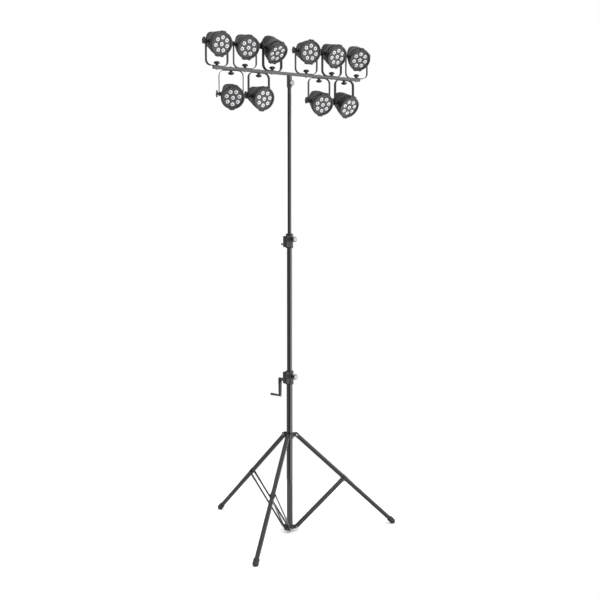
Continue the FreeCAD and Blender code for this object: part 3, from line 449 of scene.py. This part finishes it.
lampAims = [21.5, 26.0, 41.2, 15.4, 26.0, 31.0, 26.7, 20.9, 29.3, 33.5]   # tilt of each head, degrees
standingLamps = 6

headSizes = {
    "back": -75.0,
    "backRadius": 52.0,
    "front": 79.0,
    "frontEdge": 62.0,
    "bezel": 82.5,
    "bezelBore": 68.0,
    "bezelFront": 80.0,
    "face": 73.0,
    "lensCircle": 45.2,
    "lensRadius": 14.5,
    "columns": 96,
    "squareness": 3.2,
    "finDepth": 0.86,
    "finEnd": -4.0,
    "ventStart": 13.0,
    "ventEnd": 64.0,
    "ventBack": 36.0,
    "ventFront": 46.0,
}
lookAhead = Matrix.Rotation(math.radians(90), 4, "X")   # turns Z to the head's -Y


# Faces are pushed in towards the head's axis; if asked, their sunk floor and its walls take the near-black
# material as painted shade.
def sinkFaces(mesh, faces, depth, dark):
    sunk = bmesh.ops.extrude_face_region(mesh, geom=faces)
    bmesh.ops.delete(mesh, geom=faces, context="FACES")
    for item in sunk["geom"]:
        if isinstance(item, bmesh.types.BMVert):
            item.co.x *= depth
            item.co.z *= depth
        elif dark and isinstance(item, bmesh.types.BMFace):
            for edge in item.edges:
                for side in edge.link_faces:
                    side.material_index = 1


# The housing: a squarish finned back that opens into a round barrel, with a
# long vent in each upper side behind the ring.
def headHousing():
    s = headSizes
    outline = [
        (0, s["back"]), (s["backRadius"] - 8, s["back"]), (s["backRadius"] - 3, s["back"] + 2),
        (s["backRadius"], s["back"] + 7),
        (s["backRadius"] + 3, s["back"] + 20), (60, -34), (66, -14), (69, s["finEnd"]), (72, 6), (77, 22),
        (s["front"] - 0.4, 30), (s["front"], s["ventBack"]), (s["front"], s["ventFront"]),
        (s["front"], s["frontEdge"]), (0, s["frontEdge"]),
    ]
    mesh = moved(lathe(outline, s["columns"]), lookAhead)
    column = 360 / s["columns"]
    vents, fins = [], []
    for face in mesh.faces:
        middle = face.calc_center_median()
        angle = math.degrees(math.atan2(middle.x, middle.z))
        ahead = -middle.y / mm
        if s["ventBack"] < ahead < s["ventFront"] and s["ventStart"] < abs(angle) < s["ventEnd"]:
            vents.append(face)
        elif s["back"] + 4 < ahead < s["finEnd"] and 14 < abs(angle) < 166:
            if round(angle / column - 0.5) % 3 == 0:
                fins.append(face)
    # The vents' sunk floors and walls are painted shade.
    sinkFaces(mesh, vents, 0.9, True)
    sinkFaces(mesh, fins, s["finDepth"], False)
    power = s["squareness"]
    for vert in mesh.verts:
        share = min(1.0, max(0.0, (12 + vert.co.y / mm) / 62))
        radius = math.hypot(vert.co.x, vert.co.z)
        if share and radius:
            spread = (abs(vert.co.x / radius) ** power + abs(vert.co.z / radius) ** power) ** (-1 / power)
            vert.co.x *= 1 + share * (spread - 1)
            vert.co.z *= 1 + share * (spread - 1)
    bmesh.ops.recalc_face_normals(mesh, faces=mesh.faces)
    return shapeData("headHousing", mesh, ventLook)


# The front ring, with two feet at its bottom and a block between them.
def headBezel():
    s = headSizes
    outline = [
        (s["front"] - 1, 55), (s["bezel"] - 2.5, 55), (s["bezel"] - 0.5, 57), (s["bezel"], 60),
        (s["bezel"], s["bezelFront"] - 6),
        (s["bezel"] - 1.4, s["bezelFront"] - 2), (s["bezel"] - 5, s["bezelFront"]),
        (s["bezelBore"] + 5, s["bezelFront"]),
        (s["bezelBore"] + 1.5, s["bezelFront"] - 1.5), (s["bezelBore"], s["face"] - 1),
        (s["front"] - 1, s["face"] - 2),
    ]
    ring = moved(lathe(outline, 96), lookAhead)
    parts = [ring]
    for side in (-1, 1):
        foot = block((-9, -78, -89), (9, -57, -78), 2.2, 3)
        parts.append(moved(foot, Matrix.Rotation(math.radians(15 * side), 4, "Y")))
    parts.append(block((-18, -75, -85.5), (18, -58, -74), 1.6, 2))
    return shapeData("headBezel", joined(*parts), [finishes["head_black"]])


def headFace():
    s = headSizes
    outline = [
        (0, s["face"] - 4), (s["bezelBore"] + 1, s["face"] - 4), (s["bezelBore"] + 1, s["face"]),
        (0, s["face"])
    ]
    mesh = moved(lathe(outline, 72), lookAhead)
    return shapeData("headFace", mesh, [facePaint])


# One in the middle and seven round it, each a collar, a bright dish and a
# dark core.
def headLenses():
    s = headSizes
    spots = [(0.0, 0.0)]
    for number in range(7):
        angle = math.radians(90 + 360 * number / 7)
        spots.append((s["lensCircle"] * math.cos(angle), s["lensCircle"] * math.sin(angle)))
    parts = []
    for across, high in spots:
        radius = s["lensRadius"]
        outline = [
            (0, s["face"] - 1), (radius + 1.4, s["face"] - 1), (radius + 1.4, s["face"] + 0.8),
            (radius + 0.6, s["face"] + 1.4),
            (radius - 0.4, s["face"] + 0.9), (radius - 1.6, s["face"] + 1.4),
            (radius * 0.74, s["face"] + 2.6), (radius * 0.46, s["face"] + 3.2),
            (radius * 0.4, s["face"] + 2.6), (radius * 0.36, s["face"] + 2.5),
            (radius * 0.14, s["face"] + 3.3), (0, s["face"] + 3.4),
        ]
        lens = lathe(outline, 32)
        for face in lens.faces:
            distance = face.calc_center_median().xy.length / mm
            if distance > radius - 0.5 or face.calc_center_median().z / mm < s["face"] + 0.5:
                face.material_index = 3
            elif distance > radius - 1.7 or radius * 0.12 > distance:
                face.material_index = 2
            elif distance < radius * 0.45:
                face.material_index = 1
        moved(lens, Matrix.Translation((across * mm, high * mm, 0)))
        parts.append(moved(lens, lookAhead))
    return shapeData("headLenses", joined(*parts), lensLook)


rearSizes = {"plate": 41.0, "corner": 9.0, "window": (22.0, 9.0), "socket": 10.5, "button": 2.6}


# The back: a plate with its screws, a display window over four buttons, and
# two round sockets.
def headRear():
    s = rearSizes
    back = -headSizes["back"]
    plate = block((-s["plate"], back - 1, -s["plate"]), (s["plate"], back + 1.6, s["plate"]))
    corners = [edge for edge in plate.edges if abs(edge.verts[0].co.y - edge.verts[1].co.y) > mm]
    bevelEdges(plate, corners, s["corner"], 5)
    rim = [edge for edge in plate.edges if all(vert.co.y > (back + 1.5) * mm for vert in edge.verts)]
    bevelEdges(plate, rim, 0.8, 2)
    wide, high = s["window"]
    frameBlock = block((-wide - 3, back, 10), (wide + 3, back + 3, 16 + 2 * high), 1.2, 3)
    glass = block((-wide, back, 13), (wide, back + 3.4, 13 + 2 * high), 0.4, 1)
    for face in glass.faces:
        face.material_index = 1
    parts = [plate, frameBlock, glass]
    outwards = Matrix.Rotation(math.radians(-90), 4, "X")
    for number in range(4):
        across = (number - 1.5) * 12 * mm
        button = lathe(
            [(0, back), (s["button"] + 0.6, back), (s["button"], back + 3.2),
             (s["button"] - 1, back + 3.8), (0, back + 3.8)],
            20
        )
        parts.append(moved(button, Matrix.Translation((across, 0, 3 * mm)) @ outwards))
    for side in (-1, 1):
        radius = s["socket"]
        ring = lathe(
            [(radius - 2.5, back), (radius + 1.5, back), (radius + 1.5, back + 3.5),
             (radius + 0.5, back + 4.5), (radius - 1.7, back + 4.5), (radius - 2.5, back + 3.6)],
            32
        )
        # Painted shade: a near-black disc sits in each socket's well.
        well = lathe([(0, back), (radius - 2, back), (radius - 2, back + 2.2), (0, back + 2.2)], 28)
        for face in well.faces:
            face.material_index = 1
        for part in (ring, well):
            parts.append(moved(part, Matrix.Translation((20 * side * mm, 0, -20 * mm)) @ outwards))
        for high in (-1, 1):
            screw = lathe(
                [(0, back + 1), (2.6, back + 1), (2.6, back + 2.4), (1.8, back + 3.0), (0, back + 3.0)], 16
            )
            parts.append(moved(screw, Matrix.Translation((35 * side * mm, 0, 35 * high * mm)) @ outwards))
    return shapeData("headRear", joined(*parts), ventLook)


latchSizes = {
    "half": 18.0, "front": -78.0, "rear": -56.0, "low": 74.0, "high": 87.6,
    "lever": 5.5, "leverHigh": 88.5, "pocket": (7.4, 13.6),
}


# The latch on top of the ring: a low housing with a lever along its middle, and on either
# side near-black blocks on its top and front, painted shade standing for a pocket.
def headLatch():
    s = latchSizes
    half, front, rear, low = s["half"], s["front"], s["rear"], s["low"]
    parts = [block((-half, front, low), (half, rear, s["high"]), 2.0, 3)]
    parts.append(block((-s["lever"], front - 0.6, low + 6), (s["lever"], rear - 3, s["leverHigh"]), 1.4, 3))
    for side in (-1, 1):
        across = sorted(edge * side for edge in s["pocket"])
        # Painted shade: the pocket and its mouth are near-black blocks on the top and front.
        pocket = block((across[0], front + 5, 86.6), (across[1], rear - 5, s["high"] + 0.15))
        mouth = block((across[0], front - 0.15, low + 8), (across[1], front + 1, 85.4))
        for shade in (pocket, mouth):
            for face in shade.faces:
                face.material_index = 1
            parts.append(shade)
    return shapeData("headLatch", joined(*parts), ventLook)


tiltKnobSizes = {
    "radius": 25.0, "inner": 96.4, "outer": 103.6, "lobes": 8, "boss": 15.0, "shaft": 4.9, "end": 104.5,
}


# The tilt knobs, one each side, with a washer on the yoke's arm.
def headKnobs():
    s = tiltKnobSizes
    parts = []
    for side in (-1, 1):
        toSide = Matrix.Rotation(math.radians(90 * side), 4, "Y")
        boss = lathe([(0, 62), (s["boss"], 62), (13.4, 80.5), (12, 82.4), (0, 82.4)], 40)
        shaft = lathe([(0, 80), (s["shaft"], 80), (s["shaft"], 97), (0, 97)], 24)
        washer = lathe([(0, 86.3), (9.4, 86.3), (9.9, 86.8), (9.9, 88.2), (9.4, 88.7), (0, 88.7)], 40)
        neck = lathe([(0, 88.4), (8, 88.4), (6.6, 90), (6.6, 94), (11, 96.6), (14, 97.4), (0, 97.4)], 32)
        grip = scalloped(s["radius"], s["inner"], s["outer"], s["lobes"], 2.8, 1.8)
        cap = lathe([(0, 103.2), (14, 103.2), (14, 104), (13, s["end"]), (0, s["end"])], 40)
        for part in (boss, shaft, washer, neck, grip, cap):
            parts.append(moved(part, toSide))
    return shapeData("headKnobs", joined(*parts), [finishes["knob_plastic"]])


# The head's frame: its own -Y looks along the beam and its own Z is its top.
def headPlace(number):
    tilt = joints[f"lamp_{number}_tilt"]
    width = Vector(tilt["axis"])
    level = Vector((width.y, -width.x, 0))
    angle = math.radians(lampAims[number - 1])
    beam = level * math.cos(angle) - up * math.sin(angle)
    top = up * math.cos(angle) + level * math.sin(angle)
    if number > standingLamps:
        top = -top
    across = (-beam).cross(top)
    turn = Matrix((across, -beam, top)).transposed().to_4x4()
    return Matrix.Translation(Vector(tilt["pos_m"])) @ turn


def makeLamps():
    shapes = {
        "housing": (headHousing(), 0.6),
        "bezel": (headBezel(), 0.0),
        "face": (headFace(), 0.5),
        "lenses": (headLenses(), 0.0),
        "latch": (headLatch(), 0.0),
        "rear": (headRear(), 0.0),
        "tiltKnobs": (headKnobs(), 0.0),
    }
    for number in range(1, len(lampAims) + 1):
        place = headPlace(number)
        for part, (data, bevel) in shapes.items():
            stands = [f"lamp_{number}_head"] if part == "housing" else []
            piece(f"lamp_{number}_{part}", data, place, f"head_{number}", bevel, stands)
        eased(f"lamp_{number}_yoke", 0.5)
    print("lamps made")


makeLamps()


clampSizes = {"radius": 20.0, "thick": 14.0, "lobes": 10, "dip": 1.6, "screw": 4.9, "cap": 15.5}


# A clamp knob along Z, from its screw's tip to its pale face.
def clampKnob(tip, face):
    s = clampSizes
    back = face - s["thick"]
    grip = scalloped(s["radius"], back + 3, face - 0.8, s["lobes"], s["dip"], 1.5)
    skirt = lathe(
        [(0, back), (s["radius"] * 0.55, back), (s["radius"] * 0.62, back + 1),
         (s["radius"] * 0.72, back + 3.2), (0, back + 3.2)],
        48
    )
    screw = lathe(
        [(0, tip), (s["screw"] - 0.8, tip), (s["screw"], tip + 1), (s["screw"], back + 1), (0, back + 1)],
        28
    )
    cap = lathe(
        [(0, face - 1), (s["cap"], face - 1), (s["cap"], face - 0.5), (s["cap"] - 0.8, face), (0, face)], 48
    )
    for side in cap.faces:
        side.material_index = 1
    for side in screw.faces:
        side.material_index = 2
    return shapeData(
        "clampKnob", joined(grip, skirt, screw, cap),
        [finishes["knob_plastic"], paleCap, finishes["zinc_steel"]]
    )


def makeClampKnobs():
    for node, turn in (("lower_clamp_knob", "lower_knob_turn"), ("upper_clamp_knob", "upper_knob_turn"),
                       ("tbar_clamp_knob", "tbar_knob_turn"), ("hub_lock_knob", "hub_knob_turn")):
        joint = joints[turn]
        tip, face = reachAlong(node, joint["pos_m"], joint["axis"])
        place = alongAxis(joint["pos_m"], joint["axis"])
        piece(node + "_knob", clampKnob(tip, face), place, bodyOf[node], 0.0, [node])


mountSizes = {"cap": 21.0, "boltHead": 9.0, "boltLow": -15.0, "strapTop": 13.4, "top": 42.4, "bar": 10.0}


# A mushroom knob on its bolt, with the bolt's hexagon head below the bar.
def mountKnob():
    s = mountSizes
    bolt = bmesh.new()
    bmesh.ops.create_circle(bolt, cap_ends=True, segments=6, radius=s["boltHead"] * mm)
    lifted = bmesh.ops.extrude_face_region(bolt, geom=list(bolt.faces))
    bmesh.ops.translate(
        bolt, verts=[v for v in lifted["geom"] if isinstance(v, bmesh.types.BMVert)], vec=(0, 0, 5 * mm)
    )
    bmesh.ops.translate(bolt, verts=bolt.verts, vec=(0, 0, s["boltLow"] * mm))
    bmesh.ops.recalc_face_normals(bolt, faces=bolt.faces)
    bevelEdges(bolt, bolt.edges, 0.6, 2)
    shank = lathe([(0, -s["bar"]), (4.8, -s["bar"]), (4.8, s["strapTop"] + 2), (0, s["strapTop"] + 2)], 24)
    for part in (bolt, shank):
        for face in part.faces:
            face.material_index = 1
    strap, top = s["strapTop"], s["top"]
    stem = lathe([(0, strap), (12.2, strap), (12.6, strap + 1), (11, strap + 4), (9.2, strap + 10),
                  (12, strap + 14), (0, strap + 14)], 40)
    rim = scalloped(s["cap"], s["strapTop"] + 12.5, s["top"] - 5, 8, 1.8, 1.8)
    dome = lathe([(0, top - 7), (s["cap"] - 3.2, top - 5.6), (s["cap"] - 4.5, top - 3.2),
                  (s["cap"] - 9, top - 1), (s["cap"] - 15, top - 0.2), (0, top)], 48)
    return shapeData(
        "mountKnob", joined(bolt, shank, stem, rim, dome),
        [finishes["knob_plastic"], finishes["zinc_steel"]]
    )


def makeMountKnobs():
    data = mountKnob()
    for number in range(1, len(lampAims) + 1):
        pan = joints[f"lamp_{number}_pan"]
        hang = Matrix.Rotation(math.radians(180), 4, "X") if number > standingLamps else Matrix()
        stands = ["lamp_mount_knobs"] if number == 1 else []
        piece(
            f"mount_knob_{number}", data, Matrix.Translation(Vector(pan["pos_m"])) @ hang, "tbar",
            0.0, stands
        )


makeClampKnobs()
makeMountKnobs()
print("knobs made")


gripSizes = {"end": 9.0, "belly": 8.6, "neck": 6.6}


def makeCrankGrip():
    s = gripSizes
    spin = joints["grip_spin"]
    low, high = reachAlong("crank_grip", spin["pos_m"], spin["axis"])
    length = high - low
    outline = [
        (3.6, low), (s["neck"] - 0.6, low), (s["neck"] + 0.4, low + 1.2), (s["neck"], low + length * 0.08),
        (s["neck"] + 0.8, low + length * 0.25),
        (s["belly"] - 0.2, low + length * 0.5), (s["belly"], low + length * 0.7),
        (s["end"], low + length * 0.9),
        (s["end"], high - 3), (s["end"] - 1, high - 1), (s["end"] - 3, high), (3.6, high),
    ]
    mesh = lathe(outline, 48)
    data = shapeData("crankGrip", mesh, [finishes["knob_plastic"]])
    piece(
        "crank_grip_sleeve", data, alongAxis(spin["pos_m"], spin["axis"]), "grip", 0.0,
        ["crank_grip"]
    )


makeCrankGrip()


footSizes = {"radius": 21.0, "length": 37.0, "rib": 0.5, "mouth": 16.6, "heel": 17.0}


# A rubber foot: a ribbed cap with a round end, cut flat where it stands.
def makeFeet():
    s = footSizes
    for number in (1, 2, 3):
        knee = Vector(joints[f"leg_{number}_fold"]["pos_m"])
        mount = [m for m in frame["record"]["mounts"] if m["name"] == f"foot_{number}_rest"][0]
        heel = Vector(mount["pos_m"]) + up * s["heel"] * mm
        way = (knee - heel).normalized()
        outline = [(0, -s["radius"])]
        for step in range(1, 9):
            angle = math.radians(90 * step / 8)
            outline.append((s["radius"] * math.sin(angle), -s["radius"] * math.cos(angle)))
        for ring in range(5):
            at = 5 + ring * 5.6
            groove = s["radius"] - s["rib"] * 1.6
            outline += [(s["radius"], at), (groove, at + 0.7), (groove, at + 1.9), (s["radius"], at + 2.6)]
        lip = s["length"]
        outline += [(s["radius"] - 0.3, lip - 2.5), (s["radius"] - 2, lip), (s["mouth"], lip)]
        outline += [(s["mouth"], lip - 6), (0, lip - 6)]
        mesh = moved(lathe(outline, 56), alongAxis(heel, way))
        cutAll = list(mesh.verts) + list(mesh.edges) + list(mesh.faces)
        bmesh.ops.bisect_plane(mesh, geom=cutAll, plane_co=(0, 0, 0), plane_no=(0, 0, 1), clear_inner=True)
        bmesh.ops.holes_fill(mesh, edges=[edge for edge in mesh.edges if edge.is_boundary], sides=0)
        tidy(mesh)
        data = shapeData("footCap", mesh, [finishes["foot_rubber"]])
        piece(f"foot_{number}_cap", data, Matrix(), f"leg_{number}", 0.4, [f"foot_{number}"])


coverSizes = {"thick": 3.0, "corner": 7.0, "rim": 1.0, "screwInset": 6.0, "screw": 4.0}


# The plate over a winch's gears, with a raised panel and its four screws.
def makeCover(side, low, high):
    s = coverSizes
    outside = high.x - s["thick"]
    plate = block((outside, low.y, low.z), (high.x, high.y, high.z))
    corners = [edge for edge in plate.edges if abs(edge.verts[0].co.x - edge.verts[1].co.x) > mm]
    bevelEdges(plate, corners, s["corner"], 6)
    rim = [edge for edge in plate.edges if all(vert.co.x < (outside + 0.01) * mm for vert in edge.verts)]
    bevelEdges(plate, rim, s["rim"], 3)
    inset = s["screwInset"] + 3.0
    panel = block(
        (outside - 1.0, low.y + inset, low.z + 3.5), (outside + 1.0, high.y - inset, high.z - 3.5), 0.9, 2
    )
    parts = [plate, panel]
    for across in (low.y + s["screwInset"], high.y - s["screwInset"]):
        for level in (low.z + s["screwInset"], high.z - s["screwInset"]):
            screw = lathe(
                [(0, -0.5), (s["screw"], -0.5), (s["screw"], 0.8), (s["screw"] - 1.2, 2.0), (1.6, 2.2),
                 (1.5, 1.0), (0, 1.0)],
                24
            )
            for face in screw.faces:
                face.material_index = 1
            turn = Matrix.Rotation(math.radians(-90), 4, "Y")
            parts.append(moved(screw, Matrix.Translation((outside * mm, across * mm, level * mm)) @ turn))
    data = shapeData(side + "Cover", joined(*parts), [finishes["cast_black"], finishes["rack_steel"]])
    name = side + "_gear_cover"
    piece(name + "_plate", data, Matrix(), bodyOf[name], 0.0, [name])


# Whether an edge runs along X at a corner of the box from low to high.
def alongCorner(edge, low, high):
    ends = [vert.co for vert in edge.verts]
    level = all(min(abs(end.z - low.z), abs(end.z - high.z)) < 0.2 * mm for end in ends)
    wide = all(min(abs(end.y - low.y), abs(end.y - high.y)) < 0.2 * mm for end in ends)
    return level and wide and abs(ends[0].x - ends[1].x) > 1 * mm


makeFeet()
for side in ("lower", "upper"):
    low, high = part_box(side + "_gear_cover")
    eased(side + "_collar", 1.6, 7.0, lambda edge: alongCorner(edge, low, high))
    makeCover(side, low / mm, high / mm)
    eased(side + "_shaft", 0.4, slot="crank_black")
easedEdges = {
    "leg_hub": 0.8, "base_spider": 1.0, "crank_arm": 0.7, "crank_grip_axle": 0.5, "tbar_beam": 1.2,
    "tbar_socket": 0.7, "tbar_end_caps": 0.8, "base_bolts": 0.5, "hub_bolts": 0.5, "brace_1": 0.4,
    "brace_2": 0.4, "brace_3": 0.4, "lower_bush": 0.5, "upper_bush": 0.5,
}
for node, bevel in easedEdges.items():
    eased(node, bevel)
print("stand eased")


stageSizes = {
    "floor": 1.5,
    "sun": 1.1,
    "right": (0.7169, -0.6972, 0.0),     # the side that the big soft light is on
    "brightest": 2.6,
    "ceiling": 1.1,
}


# The camera sees a white backdrop. The object is lit by a large soft light
# on the right, a smaller one on the left and a pale ceiling.
def makeWorld():
    world = bpy.data.worlds.new("studio")
    world.use_nodes = True
    sky = Graph(world.node_tree)
    right = sky.node(
        "ShaderNodeVectorMath", {"operation": "DOT_PRODUCT"}, {0: sky.place, 1: stageSizes["right"]},
        "Value"
    )
    rise = sky.node(
        "ShaderNodeVectorMath", {"operation": "DOT_PRODUCT"}, {0: sky.place, 1: (0.0, 0.0, 1.0)}, "Value"
    )
    sides = sky.ramp(
        right * 0.5 + 0.5, (0.0, 0.3), (0.25, 0.26), (0.4, 0.015), (0.56, 0.015), (0.66, 0.8), (0.85, 1.0)
    )
    ceiling = sky.ramp(rise, (0.35, 0.0), (0.75, 1.0))
    room = sides * (1 - ceiling) * stageSizes["brightest"] + ceiling * stageSizes["ceiling"]
    camera = sky.node("ShaderNodeLightPath", {}, {}, "Is Camera Ray")
    backdrop = world.node_tree.nodes["Background"]
    backdrop.inputs["Color"].default_value = (1.0, 1.0, 1.0, 1.0)
    sky.connect(backdrop.inputs["Strength"], camera + (1 - camera) * room)
    bpy.context.scene.world = world


def makeStage():
    floorShape = bmesh.new()
    bmesh.ops.create_circle(floorShape, cap_ends=True, segments=96, radius=stageSizes["floor"])
    paint = Paint("floorPaint")
    soft = paint.noise(0.8, 2.0, 0.5)
    paint.set(
        Base_Color=paint.blend(soft, (0.93, 0.93, 0.93), (0.95, 0.95, 0.95)), Roughness=0.9 + soft * 0.05
    )
    floor = bpy.data.objects.new("floor", shapeData("floor", floorShape, [paint.material]))
    floor.location = (0, 0, -0.5 * mm)
    bpy.context.scene.collection.objects.link(floor)
    makeWorld()
    data = bpy.data.lights.new("overhead", "SUN")
    data.energy = stageSizes["sun"]
    data.angle = math.radians(70)
    overhead = bpy.data.objects.new("overhead", data)
    overhead.rotation_euler = (math.radians(12), math.radians(-14), 0)
    bpy.context.scene.collection.objects.link(overhead)


cameraSizes = {
    "lens": 59.33,
    "sensor": 36.0,
    "place": (-4.936, -5.184, 2.2097),
    "heading": (0.6972, 0.7169),
    "dip": 4.017,                        # degrees below level
}


def makeCamera():
    s = cameraSizes
    data = bpy.data.cameras.new("camera")
    data.lens = s["lens"]
    data.sensor_width = s["sensor"]
    data.clip_end = 1000.0
    camera = bpy.data.objects.new("camera", data)
    camera.location = s["place"]
    look = Vector((*s["heading"], -math.tan(math.radians(s["dip"]))))
    camera.rotation_euler = look.to_track_quat("-Z", "Y").to_euler()
    bpy.context.scene.collection.objects.link(camera)
    bpy.context.scene.camera = camera


makeStage()
makeCamera()
bpy.context.scene.view_settings.view_transform = "Standard"
print("stage set")
